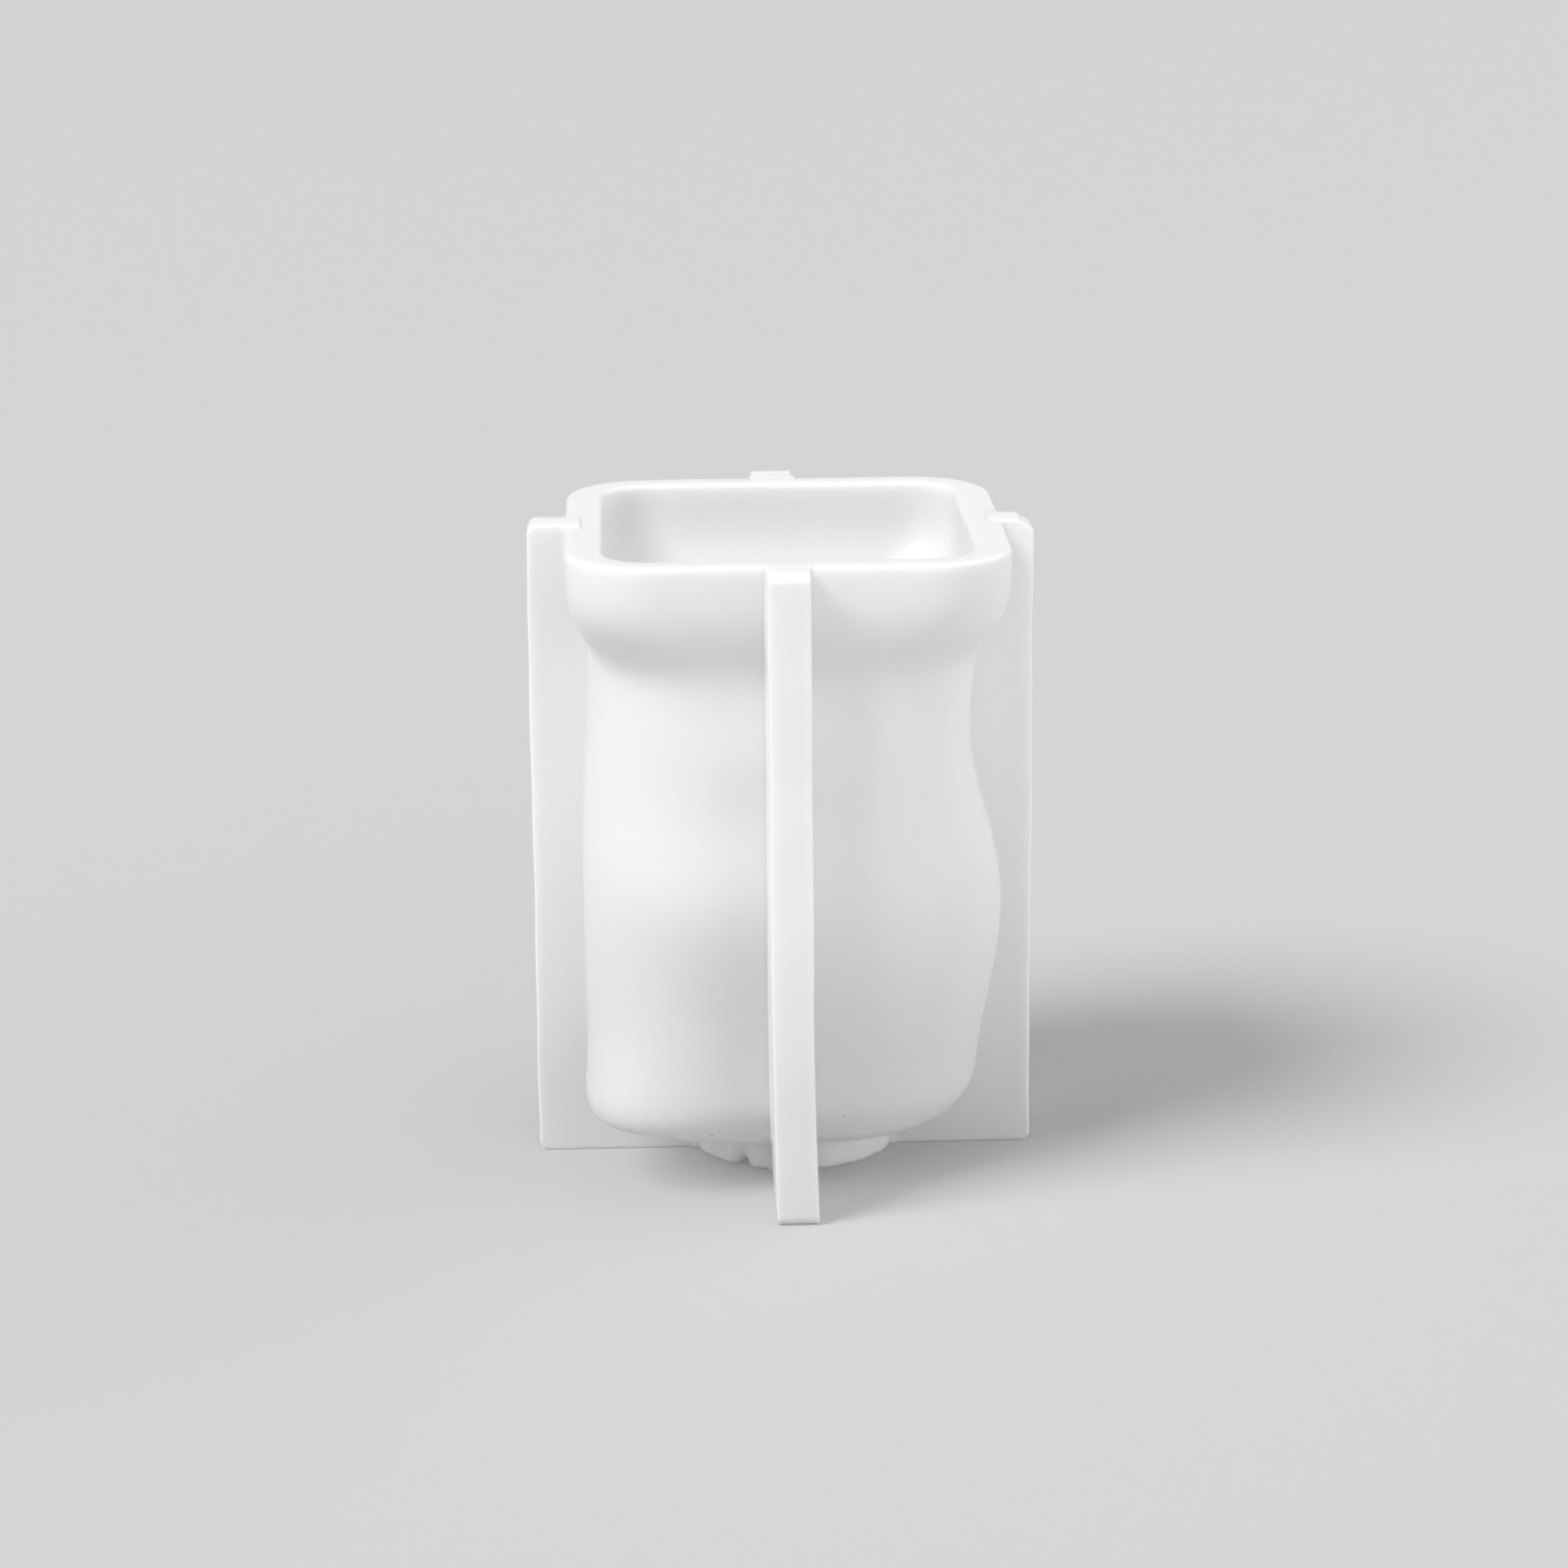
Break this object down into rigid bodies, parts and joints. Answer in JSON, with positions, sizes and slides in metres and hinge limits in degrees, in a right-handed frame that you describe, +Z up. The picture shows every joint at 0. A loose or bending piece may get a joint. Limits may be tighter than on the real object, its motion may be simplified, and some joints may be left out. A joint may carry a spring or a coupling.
{
  "type": "silicone casting mould",
  "caption": "Open-topped wavy casting mould in milky silicone with a wide pouring collar, stiffening fins that carry it and a round foot cup.",
  "frame": {"origin": "centre of the footprint, on the surface that the mould stands on", "axes": "+Z up through the mouth, -Y towards the front fin, +X towards the right fin"},
  "size_m": [0.081, 0.081, 0.105],
  "materials": {
    "milky_silicone": "milky translucent white silicone, smooth satin surface with fine casting pits",
    "fin_silicone": "the same silicone in a thin plate, so more translucent and slightly cooler"
  },
  "bodies": {
    "root": {"rim_collar": "milky_silicone", "cavity_body": "milky_silicone", "cavity_floor": "milky_silicone", "foot_cup": "milky_silicone", "front_fin": "fin_silicone", "right_fin": "fin_silicone", "back_fin": "fin_silicone", "left_fin": "fin_silicone"}
  },
  "joints": []
}
